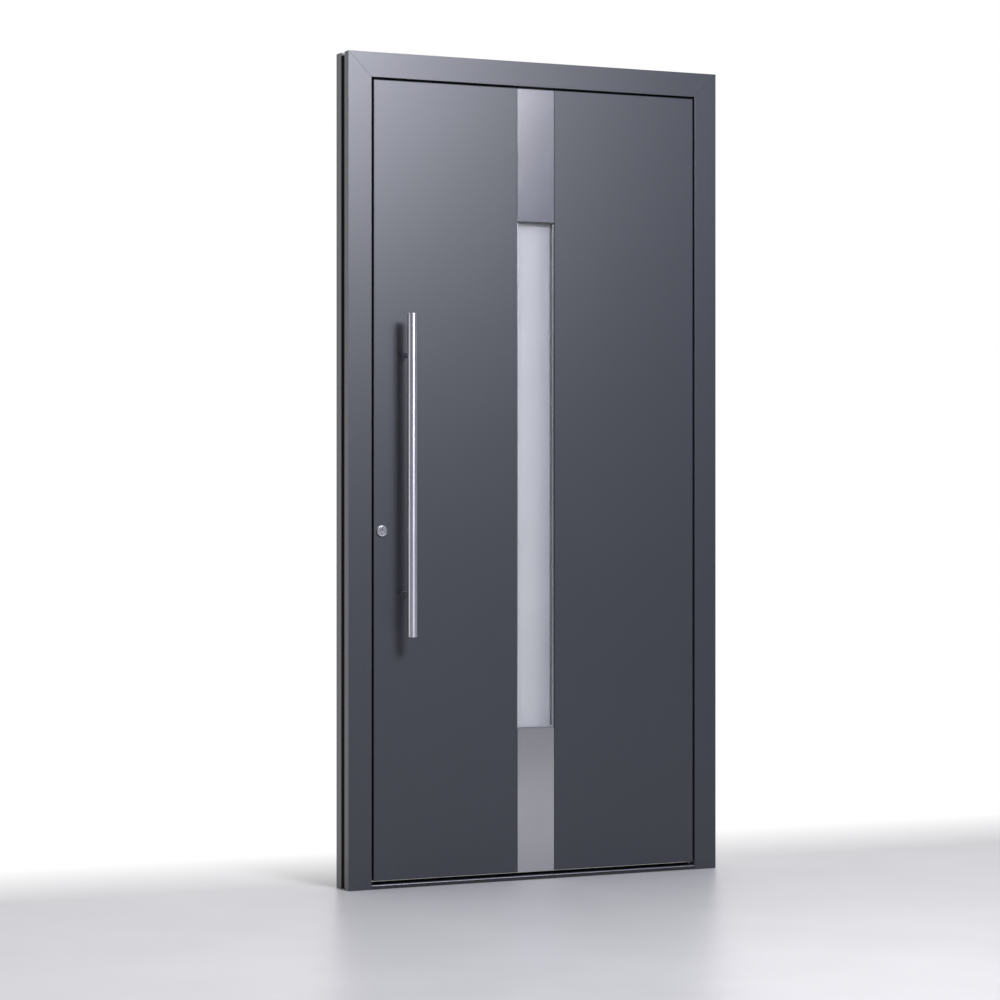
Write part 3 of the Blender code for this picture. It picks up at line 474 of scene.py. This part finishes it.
def soften_edges(obj, width):
    """The small rounding that every cut or moulded edge has."""
    bevel = obj.modifiers.new("edges", "BEVEL")
    bevel.width = width
    bevel.segments = EDGE_STEPS
    bevel.limit_method = "ANGLE"
    bevel.angle_limit = EDGE_ANGLE
    bevel.harden_normals = True


def finish_node(name, slot):
    """The look of one node of the model, and its rounded edges."""
    obj = NODES[name]
    obj.data.materials.clear()
    obj.data.materials.append(MATERIALS[LOOK_OF_NODE.get(name, slot)])
    weld = obj.modifiers.new("weld", "WELD")
    weld.merge_threshold = WELD_DISTANCE
    width = EDGE_OF_NODE.get(name, EDGE_OF_SLOT.get(slot))
    if width is not None:
        soften_edges(obj, width)


for name, slot in SLOT_OF_NODE.items():
    finish_node(name, slot)


# Screws


def screw_head(bm, place, turn, head):
    """A domed head with a hexagon socket, on a face at place with its outward way turned from +Z."""
    radius, rise, socket, sink = head
    rings = [(radius, -SCREW_SEAT)]
    rings += [(across * radius, up * rise) for across, up in DOME]
    rings += [(None, rise), (None, rise - sink)]
    loops = []
    for ring_radius, height in rings:
        loop = []
        for index in range(SCREW_SIDES):
            angle = math.tau * index / SCREW_SIDES
            off_flat = angle % SOCKET_SIDE - SOCKET_SIDE / 2
            reach = ring_radius or socket / 2 / math.cos(off_flat)
            point = Vector((reach * math.cos(angle), reach * math.sin(angle), height))
            loop.append(bm.verts.new(Vector(place) + turn @ point))
        loops.append(loop)
    bm.faces.new(reversed(loops[0]))
    bm.faces.new(loops[-1])
    for lower, upper in zip(loops, loops[1:]):
        for index in range(SCREW_SIDES):
            after = (index + 1) % SCREW_SIDES
            bm.faces.new((lower[index], lower[after], upper[after], upper[index]))


def screws(name, body, outward, places, head):
    """One piece that rides with a body: a head at each place, facing outward."""
    bm = bmesh.new()
    turn = Vector(outward).to_track_quat("Z", "Y")
    for place in places:
        screw_head(bm, place, turn, head)
    mesh = bpy.data.meshes.new(name)
    bm.to_mesh(mesh)
    bm.free()
    mesh.shade_smooth()
    mesh.set_sharp_from_angle(angle=EDGE_ANGLE)
    mesh.materials.append(MATERIALS["brushed_steel"])
    piece = bpy.data.objects.new(name, mesh)
    bpy.context.scene.collection.objects.link(piece)
    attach(piece, body)


def hinge_screws(hinge):
    """Four heads in each plate, clear of the barrel."""
    low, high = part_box(hinge + "_hinge_frame_half")
    leaf_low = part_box(hinge + "_hinge_leaf_half")[0]
    middle = (low.z + high.z) / 2
    face = low.y + HINGE_PLATE
    frame_places = [
        (high.x - HINGE_SCREW_FROM_END, face, middle + rise) for rise in HINGE_SCREW_RISES
    ]
    leaf_places = [
        (leaf_low.x + HINGE_SCREW_FROM_END + step, face, middle + rise)
        for step, rise in zip(LEAF_SCREW_STEPS, HINGE_SCREW_RISES)
    ]
    screws(hinge + "_hinge_frame_screws", "frame", (0, 1, 0), frame_places, PAN_HEAD)
    screws(hinge + "_hinge_leaf_screws", "leaf", (0, 1, 0), leaf_places, PAN_HEAD)


def lock_screws():
    """Countersunk heads down the middle of the faceplate and of the strike plate."""
    for node, body, side in (("lock_faceplate", "leaf", -1), ("strike_plate", "frame", 1)):
        low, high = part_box(node)
        face = low.x if side < 0 else high.x
        middle = (low.y + high.y) / 2
        places = [(face, middle, height) for height in LOCK_SCREW_HEIGHTS]
        screws(node + "_screws", body, (side, 0, 0), places, COUNTERSUNK_HEAD)


for hinge in ("lower", "middle", "upper"):
    hinge_screws(hinge)
lock_screws()


# Floor, light and camera


def make_floor():
    bm = bmesh.new()
    bmesh.ops.create_grid(bm, x_segments=1, y_segments=1, size=FLOOR_HALF)
    mesh = bpy.data.meshes.new("floor")
    bm.to_mesh(mesh)
    bm.free()
    floor = bpy.data.objects.new("floor", mesh)
    bpy.context.scene.collection.objects.link(floor)
    floor.location.z = -FLOOR_DROP
    mesh.materials.append(floor_material())


def floor_material():
    """A pale satin floor that the background takes over, far before the door and close behind it."""
    material, shader = new_material("pale_floor", FLOOR_COLOUR, roughness=FLOOR_ROUGHNESS)
    place = coordinates(material)
    clouds = tone(material, noise(material, place, *FLOOR_GRAIN), FLOOR_TONE)
    set_input(material, shader.inputs["Base Color"], tinted(material, FLOOR_COLOUR, clouds))
    y = linked(material, "ShaderNodeSeparateXYZ", Vector=place).outputs["Y"]
    front = spread(material, y, 1.0, 0.0, -FLOOR_FRONT_FADE[1], -FLOOR_FRONT_FADE[0])
    back = spread(material, y, 0.0, 1.0, *FLOOR_BACK_FADE)
    camera_ray = linked(material, "ShaderNodeLightPath").outputs["Is Camera Ray"]
    far = maximum(
        material,
        times(material, front, camera_ray),
        times(material, back, seen_directly(material)),
    )
    white = linked(material, "ShaderNodeEmission", Color=(*WHITE, 1.0), Strength=1.0)
    mix = linked(material, "ShaderNodeMixShader", Fac=far)
    set_input(material, mix.inputs[1], shader.outputs["BSDF"])
    set_input(material, mix.inputs[2], white.outputs["Emission"])
    output = material.node_tree.nodes["Material Output"]
    set_input(material, output.inputs["Surface"], mix.outputs["Shader"])
    return material


def make_world():
    """Grey studio in front of the door, pale room behind it, and a white background."""
    world = bpy.data.worlds.new("studio")
    bpy.context.scene.world = world
    world.use_nodes = True
    background = world.node_tree.nodes["Background"]
    direction = linked(world, "ShaderNodeTexCoord").outputs["Generated"]
    parts = linked(world, "ShaderNodeSeparateXYZ", Vector=direction).outputs
    behind = spread(world, parts["Y"], 0.0, 1.0, *BEHIND_FADE)
    overhead = spread(world, parts["Z"], 0.0, 1.0, *OVERHEAD_FADE)
    front = mixed(world, overhead, FRONT_LOW, FRONT_HIGH)
    around = mixed(world, behind, front, BACK_LIGHT)
    camera_ray = linked(world, "ShaderNodeLightPath").outputs["Is Camera Ray"]
    seen = maximum(world, camera_ray, times(world, behind, seen_directly(world)))
    set_input(world, background.inputs["Color"], mixed(world, seen, around, WHITE))
    background.inputs["Strength"].default_value = 1.0


def make_lamp(name, place, aim, size, power, colour=WHITE):
    """A rectangular lamp that the camera doesn't see."""
    lamp = bpy.data.lights.new(name, "AREA")
    lamp.shape = "RECTANGLE"
    lamp.size, lamp.size_y = size
    lamp.energy = power
    lamp.color = colour
    obj = bpy.data.objects.new(name, lamp)
    bpy.context.scene.collection.objects.link(obj)
    obj.location = place
    obj.rotation_euler = (Vector(aim) - Vector(place)).to_track_quat("-Z", "Y").to_euler()
    obj.visible_camera = False


def make_camera():
    camera = bpy.data.cameras.new("camera")
    camera.lens = CAMERA_LENS
    camera.shift_y = CAMERA_SHIFT_Y
    obj = bpy.data.objects.new("camera", camera)
    bpy.context.scene.collection.objects.link(obj)
    obj.location = CAMERA_PLACE
    obj.rotation_euler = (CAMERA_LEVEL, 0.0, CAMERA_YAW)
    bpy.context.scene.camera = obj


make_camera()
make_world()
make_lamp("key_softbox", KEY_PLACE, KEY_AIM, KEY_SIZE, KEY_POWER, KEY_COLOUR)
make_lamp("reflector_card", CARD_PLACE, CARD_AIM, CARD_SIZE, CARD_POWER)
make_floor()
bpy.context.scene.view_settings.view_transform = "Standard"
